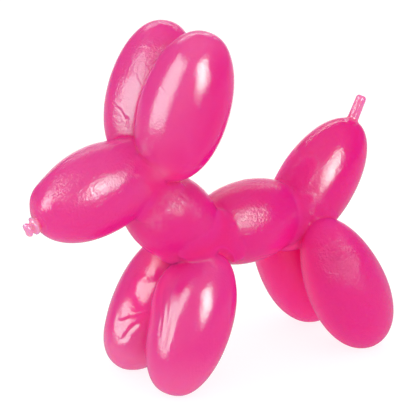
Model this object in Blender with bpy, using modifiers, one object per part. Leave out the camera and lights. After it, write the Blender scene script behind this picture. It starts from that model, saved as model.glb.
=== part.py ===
"""Balloon dog: a small toy of soft stretchy rubber, moulded in one piece in the shape that balloon
twisters make. Metres, +Z up. The dog faces -Y, its left side is +X, and the origin is on the ground
under the middle of its outline.

The figure is ten bubbles that meet at three twists. Neck, front legs and body meet at the shoulder,
body, hind legs and tail at the hip, and neck, muzzle and ears at the head. A pitch is an angle in
the side view, in degrees: 0 is straight ahead, 90 straight up and 180 straight back. A splay turns
a limb of a pair outwards. The height of the shoulder and of the hip comes from the legs below them.
"""

import math
from dataclasses import dataclass

import bpy
from mathutils import Vector

# Muzzle: it reaches back past the head twist, and its axis passes above it
MUZZLE_LENGTH = 0.0214
MUZZLE_WIDTH = 0.0126
MUZZLE_PITCH = -17.5
MUZZLE_OVERLAP = 0.0033
MUZZLE_LIFT = 0.0020
MUZZLE_EGG = 0.04
MUZZLE_BLUNTNESS = 0.06

# Ears: a pair, rooted a little above the head twist
EAR_LENGTH = 0.0216
EAR_WIDTH = 0.0126
EAR_PITCH = 109.0
EAR_SPLAY = 3.7
EAR_SPACING = 0.0078
EAR_OVERLAP = -0.0009
EAR_EGG = -0.05
EAR_BLUNTNESS = 0.12

# Neck: between the shoulder and head twists, and tilted further forward than the line through them
NECK_SPAN = 0.0148
NECK_PITCH = 54.0
NECK_LENGTH = 0.0172
NECK_WIDTH = 0.0122
NECK_TILT = -14.0
NECK_LIFT = -0.0005
NECK_EGG = -0.05

# Front legs
FRONT_LEG_LENGTH = 0.0218
FRONT_LEG_WIDTH = 0.0118
FRONT_LEG_PITCH = -64.0
FRONT_LEG_SPLAY = 6.0
FRONT_LEG_SPACING = 0.0086
FRONT_LEG_OVERLAP = 0.0005
FRONT_LEG_BLUNTNESS = 0.16

# Body: between the hip and shoulder twists, bulging above them
BODY_SPAN = 0.0180
BODY_LENGTH = 0.0202
BODY_WIDTH = 0.0124
BODY_LIFT = 0.0016
BODY_EGG = -0.03

# Hind legs: fuller towards the foot
HIND_LEG_LENGTH = 0.0240
HIND_LEG_WIDTH = 0.0122
HIND_LEG_PITCH = -117.0
HIND_LEG_SPLAY = 1.2
HIND_LEG_SPACING = 0.0126
HIND_LEG_OVERLAP = 0.0010
HIND_LEG_EGG = 0.12
HIND_LEG_BLUNTNESS = 0.10

# Tail
TAIL_LENGTH = 0.0234
TAIL_WIDTH = 0.0118
TAIL_PITCH = 130.5
TAIL_OVERLAP = 0.0057
TAIL_BLUNTNESS = 0.02

# Tail stub: the moulded end of the balloon, a short rod that leaves the tail's axis inside the
# bubble and stands more upright than it
STUB_DEPTH = 0.0031
STUB_LENGTH = 0.0070
STUB_PITCH = 117.0
STUB_BASE_WIDTH = 0.00186
STUB_END_WIDTH = 0.00158
STUB_EDGE = 0.00045

# Knot at the nose: the rolled lip of the balloon, with a wider roll behind it against the muzzle. It
# sits a little below the muzzle's axis.
KNOT_LENGTH = 0.0018
KNOT_COLLAR_WIDTH = 0.0025
KNOT_LIP_WIDTH = 0.0020
KNOT_ROLL = 0.0007
KNOT_ROOT = 0.0015
KNOT_DROP = 0.00025

# Twists: a short bar of rubber across the figure, which reaches past the roots of the pair there
TWIST_WIDTH = 0.0054
TWIST_REACH = 0.0010

# The four feet are worn flat where they stand
FOOT_FLAT = 0.0003

# The block that cuts the feet is this many times as wide as the figure is long
GROUND_MARGIN = 4

# How finely the round shapes are cut
BUBBLE_SIDES = 24
BUBBLE_RINGS = 16
TWIST_RINGS = 8
SMALL_SIDES = 14
EDGE_STEPS = 3

# Rubber
PINK = (0.81, 0.04, 0.25, 1.0)
ROUGHNESS = 0.28

LEFT = Vector((1.0, 0.0, 0.0))
FORWARD = Vector((0.0, -1.0, 0.0))
UP = Vector((0.0, 0.0, 1.0))


@dataclass
class Bubble:
    """A turned egg shape: its centre, the direction of its far end, and its profile."""

    name: str
    centre: Vector
    axis: Vector
    length: float
    width: float
    egg: float = 0.0
    bluntness: float = 0.0
    rings: int = BUBBLE_RINGS

    def profile(self):
        """Points (radius, height) from the far end to the near end."""
        points = []
        for ring in range(self.rings + 1):
            turn = math.pi * ring / self.rings
            swell = max(math.sin(turn), 0.0) ** (1.0 - self.bluntness)
            radius = self.width / 2 * swell * (1.0 + self.egg * math.cos(turn))
            on_axis = ring in (0, self.rings)
            points.append((0.0 if on_axis else radius, self.length / 2 * math.cos(turn)))
        return points

    def reach(self, direction):
        """How far the bubble extends along a direction from the figure's zero point."""
        along = self.axis.dot(direction)
        across = math.sqrt(max(1.0 - along * along, 0.0))
        furthest = max(height * along + radius * across for radius, height in self.profile())
        return self.centre.dot(direction) + furthest

    def far_end(self):
        return self.centre + self.axis * self.length / 2


def heading(pitch, splay=0.0, side=1):
    """The direction of a limb, from its pitch and splay in degrees; side is 1 on the left."""
    pitch = math.radians(pitch)
    splay = math.radians(splay)
    return Vector((
        side * math.sin(splay),
        -math.cos(pitch) * math.cos(splay),
        math.sin(pitch) * math.cos(splay),
    ))


def limb(name, root, pitch, length, width, overlap, splay=0.0, spacing=0.0, side=1,
         lift=0.0, egg=0.0, bluntness=0.0):
    """A bubble that grows from a twist. Its near end lies overlap behind the root."""
    axis = heading(pitch, splay, side)
    above = heading(pitch + 90.0)
    centre = root + LEFT * side * spacing / 2 + axis * (length / 2 - overlap) + above * lift
    return Bubble(name, centre, axis, length, width, egg, bluntness)


def link(name, start, end, length, width, lift, tilt=0.0, egg=0.0):
    """A bubble centred between two twists, with lift above and tilt from the line through them."""
    line = end - start
    pitch = math.degrees(math.atan2(line.z, -line.y))
    centre = (start + end) / 2 + heading(pitch + 90.0) * lift
    return Bubble(name, centre, heading(pitch + tilt), length, width, egg)


def pair(name, root, **shape):
    return [
        limb(f"{word}_{name}", root, side=side, **shape)
        for word, side in (("left", 1), ("right", -1))
    ]


def front_legs(shoulder):
    return pair(
        "front_leg", shoulder, pitch=FRONT_LEG_PITCH, splay=FRONT_LEG_SPLAY,
        spacing=FRONT_LEG_SPACING, length=FRONT_LEG_LENGTH, width=FRONT_LEG_WIDTH,
        overlap=FRONT_LEG_OVERLAP, bluntness=FRONT_LEG_BLUNTNESS,
    )


def hind_legs(hip):
    return pair(
        "hind_leg", hip, pitch=HIND_LEG_PITCH, splay=HIND_LEG_SPLAY,
        spacing=HIND_LEG_SPACING, length=HIND_LEG_LENGTH, width=HIND_LEG_WIDTH,
        overlap=HIND_LEG_OVERLAP, egg=HIND_LEG_EGG, bluntness=HIND_LEG_BLUNTNESS,
    )


def ears(head):
    return pair(
        "ear", head, pitch=EAR_PITCH, splay=EAR_SPLAY, spacing=EAR_SPACING,
        length=EAR_LENGTH, width=EAR_WIDTH, overlap=EAR_OVERLAP, egg=EAR_EGG,
        bluntness=EAR_BLUNTNESS,
    )


def standing_height(legs):
    """The height of a twist whose legs stand on the ground, each foot worn by its flat."""
    return legs(Vector())[0].reach(-UP) - FOOT_FLAT


def twist(name, place, spacing):
    """The pinch where bubbles meet, which carries the roots of a pair spaced like this."""
    length = spacing + 2 * TWIST_REACH
    return Bubble(name, place, LEFT, length, TWIST_WIDTH, rings=TWIST_RINGS)


def rounded_rod(length, base_width, end_width, edge):
    """Profile (radius, height) of a tapered rod with a rounded free end at the top."""
    points = [(0.0, length)]
    for step in range(EDGE_STEPS + 1):
        turn = math.pi / 2 * step / EDGE_STEPS
        radius = end_width / 2 - edge * (1.0 - math.sin(turn))
        points.append((radius, length - edge * (1.0 - math.cos(turn))))
    points += [(base_width / 2, 0.0), (0.0, 0.0)]
    return points


def roll(width, top, thickness):
    """Profile points down the half-round edge of a roll, from its top to its underside."""
    bulge = thickness / 2
    points = []
    for step in range(2 * EDGE_STEPS + 1):
        turn = math.pi / 2 * (1.0 - step / EDGE_STEPS)
        radius = width / 2 - bulge * (1.0 - math.cos(turn))
        points.append((radius, top - bulge * (1.0 - math.sin(turn))))
    return points


def knot_profile():
    """Profile (radius, height) of the knot, from its free end down to its root in the muzzle."""
    lip = roll(KNOT_LIP_WIDTH, KNOT_LENGTH, KNOT_ROLL)
    collar = roll(KNOT_COLLAR_WIDTH, KNOT_ROLL, KNOT_ROLL)
    core = collar[-1][0]
    return [(0.0, KNOT_LENGTH)] + lip + collar + [(core, -KNOT_ROOT), (0.0, -KNOT_ROOT)]


def turned(name, profile, sides, place, axis, collection):
    """A solid of revolution about its own Z axis, stood at a place and turned to point along axis."""
    mesh = bpy.data.meshes.new(name)
    edges = [(i, i + 1) for i in range(len(profile) - 1)]
    mesh.from_pydata([(radius, 0.0, height) for radius, height in profile], edges, [])
    shape = bpy.data.objects.new(name, mesh)
    collection.objects.link(shape)
    screw = shape.modifiers.new("Turn", "SCREW")
    screw.axis = "Z"
    screw.angle = math.tau
    screw.steps = sides
    screw.render_steps = sides
    screw.use_smooth_shade = True
    screw.use_merge_vertices = True
    screw.merge_threshold = 0.000001
    shape.location = place
    shape.rotation_mode = "QUATERNION"
    shape.rotation_quaternion = axis.to_track_quat("Z", "X")
    return shape


def bubble_shape(bubble, collection):
    return turned(
        bubble.name, bubble.profile(), BUBBLE_SIDES, bubble.centre, bubble.axis, collection
    )


def ground_block(size, collection):
    """A block whose top is the ground, which cuts the feet flat."""
    bpy.ops.mesh.primitive_cube_add(size=size, location=(0.0, 0.0, -size / 2))
    block = bpy.context.object
    block.name = "ground"
    for owner in list(block.users_collection):
        owner.objects.unlink(block)
    collection.objects.link(block)
    return block


def new_collection(name):
    collection = bpy.data.collections.new(name)
    bpy.context.scene.collection.children.link(collection)
    return collection


def hide(shapes):
    for shape in shapes:
        shape.hide_render = True
        shape.display_type = "WIRE"


def pink_rubber():
    material = bpy.data.materials.new("pink_rubber")
    material.use_nodes = True
    shader = material.node_tree.nodes["Principled BSDF"]
    shader.inputs["Base Color"].default_value = PINK
    shader.inputs["Roughness"].default_value = ROUGHNESS
    shader.inputs["Metallic"].default_value = 0.0
    material.diffuse_color = PINK
    return material


def clear_scene():
    for thing in list(bpy.data.objects):
        bpy.data.objects.remove(thing, do_unlink=True)


def main():
    clear_scene()
    finished = new_collection("balloon_dog")
    joined = new_collection("joined_shapes")
    cutters = new_collection("cutters")

    shoulder = UP * standing_height(front_legs)
    rise = standing_height(hind_legs) - shoulder.z
    run = math.sqrt(BODY_SPAN**2 - rise**2)
    hip = shoulder + Vector((0.0, run, rise))
    head = shoulder + heading(NECK_PITCH) * NECK_SPAN

    body = link(
        "balloon_dog", hip, shoulder, BODY_LENGTH, BODY_WIDTH, BODY_LIFT, egg=BODY_EGG
    )
    neck = link(
        "neck", shoulder, head, NECK_LENGTH, NECK_WIDTH, NECK_LIFT, NECK_TILT, NECK_EGG
    )
    muzzle = limb(
        "muzzle", head, MUZZLE_PITCH, MUZZLE_LENGTH, MUZZLE_WIDTH, MUZZLE_OVERLAP,
        lift=MUZZLE_LIFT, egg=MUZZLE_EGG, bluntness=MUZZLE_BLUNTNESS,
    )
    tail = limb(
        "tail", hip, TAIL_PITCH, TAIL_LENGTH, TAIL_WIDTH, TAIL_OVERLAP,
        bluntness=TAIL_BLUNTNESS,
    )
    others = [neck, muzzle, tail]
    others += ears(head) + front_legs(shoulder) + hind_legs(hip)
    twists = [
        twist("shoulder_twist", shoulder, FRONT_LEG_SPACING),
        twist("hip_twist", hip, HIND_LEG_SPACING),
        twist("head_twist", head, EAR_SPACING),
    ]
    knot_place = muzzle.far_end() - heading(MUZZLE_PITCH + 90.0) * KNOT_DROP
    stub_place = tail.far_end() - tail.axis * STUB_DEPTH
    stub_axis = heading(STUB_PITCH)

    dog = bubble_shape(body, finished)
    shapes = [bubble_shape(bubble, joined) for bubble in others + twists]
    shapes.append(
        turned("knot", knot_profile(), SMALL_SIDES, knot_place, muzzle.axis, joined)
    )
    stub = rounded_rod(STUB_LENGTH, STUB_BASE_WIDTH, STUB_END_WIDTH, STUB_EDGE)
    shapes.append(turned("stub", stub, SMALL_SIDES, stub_place, stub_axis, joined))

    # The outline's middle, front to back, comes over the origin
    knot_tip = knot_place + muzzle.axis * KNOT_LENGTH
    front = max([knot_tip.dot(FORWARD)] + [bubble.reach(FORWARD) for bubble in others])
    stub_tip = stub_place + stub_axis * STUB_LENGTH
    back = max([stub_tip.dot(-FORWARD)] + [bubble.reach(-FORWARD) for bubble in others])
    for shape in [dog] + shapes:
        shape.location += FORWARD * (back - front) / 2

    ground = ground_block(GROUND_MARGIN * (front + back), cutters)
    hide(shapes + [ground])
    union = dog.modifiers.new("Join bubbles", "BOOLEAN")
    union.operation = "UNION"
    union.solver = "EXACT"
    union.operand_type = "COLLECTION"
    union.collection = joined
    flatten = dog.modifiers.new("Flatten feet", "BOOLEAN")
    flatten.operation = "DIFFERENCE"
    flatten.solver = "EXACT"
    flatten.object = ground

    dog.data.materials.append(pink_rubber())


main()
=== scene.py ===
"""The looks of the balloon dog: a small toy of glossy, slightly see-through hot-pink rubber.

One fine mesh replaces the plain solid. It starts as a remeshed copy of that solid, is drawn onto the
smooth union of the figure's bubbles, and then gets the relief that soft moulded rubber shows:
wrinkles, creases, mould lines, the folds of the knot and the collar of the tail stub.
Metres, +Z up, the dog faces -Y and its left side is +X.
"""

import math
from dataclasses import dataclass
from itertools import product

import bmesh
import bpy
import numpy as np
from mathutils import Matrix, Vector


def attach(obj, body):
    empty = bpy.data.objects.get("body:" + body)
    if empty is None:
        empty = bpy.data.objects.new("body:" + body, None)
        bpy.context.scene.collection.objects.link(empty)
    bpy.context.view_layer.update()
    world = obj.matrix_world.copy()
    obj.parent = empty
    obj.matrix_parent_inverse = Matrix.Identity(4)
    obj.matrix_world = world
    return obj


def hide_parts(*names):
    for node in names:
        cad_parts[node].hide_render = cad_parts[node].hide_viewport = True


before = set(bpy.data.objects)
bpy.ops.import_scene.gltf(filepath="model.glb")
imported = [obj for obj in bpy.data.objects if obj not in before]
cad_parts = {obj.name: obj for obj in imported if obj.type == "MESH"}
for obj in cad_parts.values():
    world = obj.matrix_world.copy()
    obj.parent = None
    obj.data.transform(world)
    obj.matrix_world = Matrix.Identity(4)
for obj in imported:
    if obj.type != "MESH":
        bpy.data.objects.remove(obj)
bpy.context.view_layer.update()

# The figure's own sizes, as its solid has them
MUZZLE = dict(
    pitch=-17.5, length=0.0214, width=0.0126, overlap=0.0033, lift=0.0020, egg=0.04, bluntness=0.06
)
EAR = dict(
    pitch=109.0, length=0.0216, width=0.0126, overlap=-0.0009, splay=3.7, spacing=0.0078,
    egg=-0.05, bluntness=0.12,
)
NECK = dict(length=0.0172, width=0.0122, lift=-0.0005, tilt=-14.0, egg=-0.05)
BODY = dict(length=0.0202, width=0.0124, lift=0.0016, egg=-0.03)
FRONT_LEG = dict(
    pitch=-64.0, length=0.0218, width=0.0118, overlap=0.0005, splay=6.0, spacing=0.0086,
    bluntness=0.16,
)
HIND_LEG = dict(
    pitch=-117.0, length=0.0240, width=0.0122, overlap=0.0010, splay=1.2, spacing=0.0126,
    egg=0.12, bluntness=0.10,
)
TAIL = dict(pitch=130.5, length=0.0234, width=0.0118, overlap=0.0057, bluntness=0.02)
NECK_SPAN = 0.0148
NECK_PITCH = 54.0
BODY_SPAN = 0.0180
FOOT_FLAT = 0.0003
STUB_DEPTH = 0.0031
STUB_LENGTH = 0.0070
STUB_PITCH = 117.0
STUB_BASE_WIDTH = 0.00186
STUB_END_WIDTH = 0.00158
STUB_EDGE = 0.00045
KNOT_LENGTH = 0.0018
KNOT_COLLAR_WIDTH = 0.0025
KNOT_LIP_WIDTH = 0.0020
KNOT_ROLL = 0.0007
KNOT_DROP = 0.00025
TWIST_WIDTH = 0.0054
TWIST_REACH = 0.0010

LEFT = np.array((1.0, 0.0, 0.0))
FORWARD = np.array((0.0, -1.0, 0.0))
UP = np.array((0.0, 0.0, 1.0))


def heading(pitch, splay=0.0, side=1):
    """The direction of a limb, from its pitch and splay in degrees; side is 1 on the left."""
    pitch = math.radians(pitch)
    splay = math.radians(splay)
    return np.array((
        side * math.sin(splay),
        -math.cos(pitch) * math.cos(splay),
        math.sin(pitch) * math.cos(splay),
    ))


RINGS = 16
EGG_LIMIT = 1.3
LEAST_SLOPE = 1.2
TINY = 1e-9


@dataclass
class Bubble:
    """A turned egg shape, as a field that is zero on its surface and negative inside."""

    centre: np.ndarray
    axis: np.ndarray
    length: float
    width: float
    egg: float = 0.0
    bluntness: float = 0.0

    def far_end(self):
        return self.centre + self.axis * self.length / 2

    def radius(self, turn):
        swell = max(math.sin(turn), 0.0) ** (1.0 - self.bluntness)
        return self.width / 2 * swell * (1.0 + self.egg * math.cos(turn))

    def reach(self, direction):
        """How far the bubble extends along a direction."""
        along = self.axis @ direction
        across = math.sqrt(1.0 - along * along)
        rings = [math.pi * ring / RINGS for ring in range(RINGS + 1)]
        return self.centre @ direction + max(
            self.length / 2 * math.cos(turn) * along + self.radius(turn) * across
            for turn in rings
        )

    def point(self, along, angle):
        """The point of the surface at a share of the half length and an angle round the axis."""
        side, above = self.cross_axes()
        turn = math.radians(angle)
        radius = self.radius(math.acos(along))
        out = side * math.cos(turn) + above * math.sin(turn)
        return self.centre + self.axis * along * self.length / 2 + out * radius

    def cross_axes(self):
        """Two directions across the axis: the first is close to the dog's left."""
        side = LEFT - self.axis * (self.axis @ LEFT)
        side /= np.linalg.norm(side)
        return side, np.cross(side, self.axis)

    def distance(self, points):
        offset = points - self.centre
        height = offset @ self.axis
        round_it = np.linalg.norm(offset - height[:, None] * self.axis, axis=1) + TINY
        share = height / (self.length / 2)
        swell = 1.0 + self.egg * np.clip(share, -EGG_LIMIT, EGG_LIMIT)
        power = 2.0 / (1.0 - self.bluntness)
        ratio = round_it / (self.width / 2 * swell)
        value = share**2 + ratio**power - 1.0
        slope = power * ratio ** (power - 1.0)
        outward = slope / (self.width / 2 * swell)
        lengthwise = (2.0 * share - slope * ratio * self.egg / swell) / (self.length / 2)
        return value / np.maximum(np.hypot(outward, lengthwise), LEAST_SLOPE / self.width)


def limb(root, pitch, length, width, overlap, splay=0.0, spacing=0.0, side=1, lift=0.0,
         egg=0.0, bluntness=0.0):
    """A bubble that grows from a twist. Its near end lies overlap behind the root."""
    axis = heading(pitch, splay, side)
    root = root + LEFT * side * spacing / 2 + heading(pitch + 90.0) * lift
    return Bubble(root + axis * (length / 2 - overlap), axis, length, width, egg, bluntness)


def link(start, end, length, width, lift, tilt=0.0, egg=0.0):
    """A bubble between two twists, with lift above and tilt from the line through them."""
    line = end - start
    pitch = math.degrees(math.atan2(line[2], -line[1]))
    centre = (start + end) / 2 + heading(pitch + 90.0) * lift
    return Bubble(centre, heading(pitch + tilt), length, width, egg)


def standing_height(shape):
    return limb(np.zeros(3), **shape).reach(-UP) - FOOT_FLAT


def place_figure():
    """The ten bubbles and the three twists, where the solid has them."""
    shoulder = UP * standing_height(FRONT_LEG)
    rise = standing_height(HIND_LEG) - shoulder[2]
    hip = shoulder + np.array((0.0, math.sqrt(BODY_SPAN**2 - rise**2), rise))
    head = shoulder + heading(NECK_PITCH) * NECK_SPAN
    bubbles = {
        "body": link(hip, shoulder, **BODY),
        "neck": link(shoulder, head, **NECK),
        "muzzle": limb(head, **MUZZLE),
        "tail": limb(hip, **TAIL),
    }
    for word, side in (("left", 1), ("right", -1)):
        bubbles[f"{word}_ear"] = limb(head, side=side, **EAR)
        bubbles[f"{word}_front_leg"] = limb(shoulder, side=side, **FRONT_LEG)
        bubbles[f"{word}_hind_leg"] = limb(hip, side=side, **HIND_LEG)
    muzzle = bubbles["muzzle"]
    drop = heading(MUZZLE["pitch"] + 90.0) * KNOT_DROP
    knot_tip = muzzle.far_end() + muzzle.axis * KNOT_LENGTH - drop
    front = knot_tip @ FORWARD
    back = max(bubble.reach(-FORWARD) for bubble in bubbles.values())
    shift = FORWARD * (back - front) / 2
    for bubble in bubbles.values():
        bubble.centre = bubble.centre + shift
    twists = {"shoulder": shoulder + shift, "hip": hip + shift, "head": head + shift}
    return bubbles, twists


BUBBLES, TWISTS = place_figure()
JOINING_ORDER = (
    "neck", "body", "tail", "muzzle", "left_hind_leg", "right_hind_leg",
    "left_front_leg", "right_front_leg", "left_ear", "right_ear",
)
KNOT_PLACE = BUBBLES["muzzle"].far_end() - heading(MUZZLE["pitch"] + 90.0) * KNOT_DROP
STUB_AXIS = heading(STUB_PITCH)
STUB_PLACE = BUBBLES["tail"].far_end() - BUBBLES["tail"].axis * STUB_DEPTH

# Mesh: the first remesh, and how softly the bubbles run into each other
WELD_REACH = 0.000001
VOXEL = 0.00034
NOTCH_FILLET = 0.00025
FLANK_FILLETS = {"shoulder": 0.0032, "head": 0.0024, "hip": 0.0014}
FLANK_FACING = (0.45, 0.80)
FLANK_REACH = (0.0045, 0.0095)
KNOT_FILLET = 0.00030
GROUND_FILLET = 0.00020
RELAX_ROUNDS = 6
FIT_ROUNDS = 4
REFINED_FIT_ROUNDS = 2


def rod_distance(points, start, end, start_width, end_width, edge):
    """Distance to a tapered rod with rounded ends."""
    axis = end - start
    length = np.linalg.norm(axis)
    axis = axis / length
    height = (points - start) @ axis
    away = np.linalg.norm(points - start - height[:, None] * axis, axis=1)
    share = np.clip(height / length, 0.0, 1.0)
    radius = (start_width + (end_width - start_width) * share) / 2
    outside = np.stack((away - radius + edge, np.abs(height - length / 2) - length / 2 + edge), -1)
    beyond = np.linalg.norm(np.maximum(outside, 0.0), axis=1)
    return beyond + np.minimum(outside.max(axis=1), 0.0) - edge


def knot_distance(points):
    """Distance to the knot: a core with two rolls, the collar and the lip."""
    axis = BUBBLES["muzzle"].axis
    height = (points - KNOT_PLACE) @ axis
    away = np.linalg.norm(points - KNOT_PLACE - height[:, None] * axis, axis=1)
    bulge = KNOT_ROLL / 2
    start = KNOT_PLACE - axis * KNOT_ROLL
    end = KNOT_PLACE + axis * (KNOT_LENGTH - bulge)
    core = KNOT_LIP_WIDTH - 2 * bulge
    knot = rod_distance(points, start, end, core, core, bulge / 2)
    for width, middle in ((KNOT_COLLAR_WIDTH, bulge), (KNOT_LIP_WIDTH, KNOT_LENGTH - bulge)):
        ring = np.maximum(away - width / 2 + bulge, 0.0)
        knot = joined(knot, np.hypot(ring, height - middle) - bulge, NOTCH_FILLET)
    return knot


def joined(first, second, fillet):
    """The union of two shapes, with a fillet as wide as given where they meet."""
    overlap = np.maximum(fillet - np.abs(first - second), 0.0)
    return np.minimum(first, second) - overlap * overlap / (4.0 * fillet)


def smooth_step(value, low, high):
    share = np.clip((value - low) / (high - low), 0.0, 1.0)
    return share * share * (3.0 - 2.0 * share)


def figure_distance(points, fillet):
    """The whole figure as one field: zero on the skin, negative inside."""
    shapes = [BUBBLES[name].distance(points) for name in JOINING_ORDER]
    rods = []
    for name, pair in (("shoulder", FRONT_LEG), ("hip", HIND_LEG), ("head", EAR)):
        arm = LEFT * (pair["spacing"] / 2 + TWIST_REACH - TWIST_WIDTH / 2)
        rods.append(rod_distance(
            points, TWISTS[name] - arm, TWISTS[name] + arm, TWIST_WIDTH, TWIST_WIDTH, TWIST_WIDTH / 2
        ))
    figure = shapes[0]
    for shape in shapes[1:]:
        figure = joined(figure, shape, fillet)
    for rod in rods:
        figure = joined(figure, rod, NOTCH_FILLET)
    stub = rod_distance(
        points, STUB_PLACE, STUB_PLACE + STUB_AXIS * STUB_LENGTH,
        STUB_BASE_WIDTH, STUB_END_WIDTH, STUB_EDGE,
    )
    figure = joined(figure, stub, NOTCH_FILLET)
    figure = joined(figure, knot_distance(points), KNOT_FILLET)
    return -joined(-figure, points[:, 2], GROUND_FILLET)


def skin_normals(points, fillet):
    step = 0.00002
    slopes = [
        figure_distance(points + step * way, fillet) - figure_distance(points - step * way, fillet)
        for way in np.eye(3)
    ]
    normals = np.stack(slopes, axis=1)
    return normals / np.linalg.norm(normals, axis=1)[:, None]


def fillets(points):
    """How wide the fillets are: narrow in the notches of the outline, wide on the two flanks."""
    widest = max(FLANK_FILLETS.values())
    facing = skin_normals(points, widest)[:, 0] * np.sign(points[:, 0])
    width = np.zeros(len(points))
    for name, place in TWISTS.items():
        from_twist = np.linalg.norm((points - place)[:, 1:], axis=1)
        near = FLANK_FILLETS[name] * (1.0 - smooth_step(from_twist, *FLANK_REACH))
        width = np.maximum(width, near)
    return NOTCH_FILLET + width * smooth_step(facing, *FLANK_FACING)


def fit_to_skin(points, fillet, rounds):
    for _ in range(rounds):
        gap = np.clip(figure_distance(points, fillet), -VOXEL, VOXEL)
        points = points - gap[:, None] * skin_normals(points, fillet)
    return points


def read_points(mesh):
    flat = np.empty(len(mesh.vertices) * 3)
    mesh.vertices.foreach_get("co", flat)
    return flat.reshape(-1, 3)


def write_points(mesh, points):
    mesh.vertices.foreach_set("co", points.ravel())
    mesh.update()


def edges_of(mesh):
    flat = np.empty(len(mesh.edges) * 2, dtype=np.int64)
    mesh.edges.foreach_get("vertices", flat)
    return flat.reshape(-1, 2)


def relaxed(points, edges):
    """Each point moved halfway to the mean of its neighbours, to even out the mesh."""
    total = np.zeros_like(points)
    count = np.zeros(len(points))
    for a, b in ((0, 1), (1, 0)):
        np.add.at(total, edges[:, a], points[edges[:, b]])
        np.add.at(count, edges[:, a], 1.0)
    return (points + total / count[:, None]) / 2


def remeshed_solid():
    """A new object with the solid's form in even small faces."""
    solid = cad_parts["balloon_dog"]
    piece = bpy.data.objects.new("balloon_dog_skin", solid.data.copy())
    bpy.context.scene.collection.objects.link(piece)
    weld = piece.modifiers.new("Weld", "WELD")
    weld.merge_threshold = WELD_REACH
    remesh = piece.modifiers.new("Remesh", "REMESH")
    remesh.mode = "VOXEL"
    remesh.voxel_size = VOXEL
    remesh.use_smooth_shade = True
    evaluated = piece.evaluated_get(bpy.context.evaluated_depsgraph_get())
    mesh = bpy.data.meshes.new_from_object(evaluated)
    piece.modifiers.clear()
    piece.data = mesh
    return piece


def even_mesh(piece):
    """Draws the mesh onto the skin and evens out its faces."""
    mesh = piece.data
    edges = edges_of(mesh)
    points = read_points(mesh)
    points = fit_to_skin(points, NOTCH_FILLET, FIT_ROUNDS)
    for _ in range(RELAX_ROUNDS):
        points = relaxed(points, edges)
        fillet = fillets(points)
        points = fit_to_skin(points, fillet, 1)
    points = fit_to_skin(points, fillet, FIT_ROUNDS)
    write_points(mesh, points)


MM = 0.001

# Noise: a hash of each cell's place and seed gives its level
NOISE_PRIMES = np.array((73856093, 19349663, 83492791))
SEED_PRIME = 668265263
MIX_PRIME = 1274126177
NOISE_TOP = 0xFFFF


def lumps(points, size, seed):
    """Smooth noise between -1 and 1, with lumps about as big as size."""
    place = points / size
    cell = np.floor(place)
    inside = place - cell
    inside = inside**3 * (inside * (inside * 6.0 - 15.0) + 10.0)
    cell = cell.astype(np.int64)
    total = np.zeros(len(points))
    for corner in product((0, 1), repeat=3):
        key = ((cell + corner) * NOISE_PRIMES).sum(axis=1) + seed * SEED_PRIME
        key = (key ^ (key >> 13)) * MIX_PRIME
        key = (key ^ (key >> 16)) & NOISE_TOP
        share = np.prod(np.where(corner, inside, 1.0 - inside), axis=1)
        total += share * (key / (NOISE_TOP / 2) - 1.0)
    return total


# Relief: how deep a patch reaches, how uneven ripples are, and the cross-section of a crease
PATCH_DEPTH = (2.5 * MM, 5.0 * MM)
ALONG_STEP = 0.01
ANGLE_STEP = 1.0
RIPPLE_WANDER = 0.35
RIPPLE_WANDER_SIZE = 1.3 * MM
RIPPLE_PATCHINESS = 0.35
RIPPLE_PATCH_SIZE = 0.9 * MM
PATCHINESS_SEED = 7
LEAST_FAN = 0.3
LIP_PLACE = 2.2
CREASE_TAPER = 0.25
CREASE_END = 0.15
CREASE_MARGIN = 4.0
STEP_MARGIN = 2.5
CURVE_STEPS = 6

# Where the mesh is refined for the relief
DETAIL_REACH = 0.5 * MM
WIDEST_FINE_CREASE = 1.0
RIPPLE_ZONE = 0.9
RIPPLE_WEIGHT = 0.5
KNOT_ZONE = 2.6 * MM


@dataclass
class Swell:
    """A soft bump on a bubble, or a dent where the height is negative. Sizes in millimetres."""

    along: float
    angle: float
    length: float
    width: float
    height: float
    turn: float = 0.0

    def patch(self, bubble, points):
        """Coordinates on the patch as shares of its half sizes, and a weight that ends in depth."""
        middle = bubble.point(self.along, self.angle)
        ahead = bubble.point(self.along + ALONG_STEP, self.angle)
        ahead = ahead - bubble.point(self.along - ALONG_STEP, self.angle)
        ahead /= np.linalg.norm(ahead)
        around = bubble.point(self.along, self.angle + ANGLE_STEP)
        around = around - bubble.point(self.along, self.angle - ANGLE_STEP)
        around /= np.linalg.norm(around)
        out = np.cross(ahead, around)
        turn = math.radians(self.turn)
        offset = points - middle
        x = offset @ (ahead * math.cos(turn) + around * math.sin(turn)) / (self.length * MM / 2)
        y = offset @ (around * math.cos(turn) - ahead * math.sin(turn)) / (self.width * MM / 2)
        return x, y, 1.0 - smooth_step(np.abs(offset @ out), *PATCH_DEPTH)

    def relief(self, bubble, points):
        x, y, weight = self.patch(bubble, points)
        return self.height * MM * weight * np.exp(-x * x - y * y)

    def fine_zone(self, bubble, points):
        return np.zeros(len(points), dtype=bool)


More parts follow.
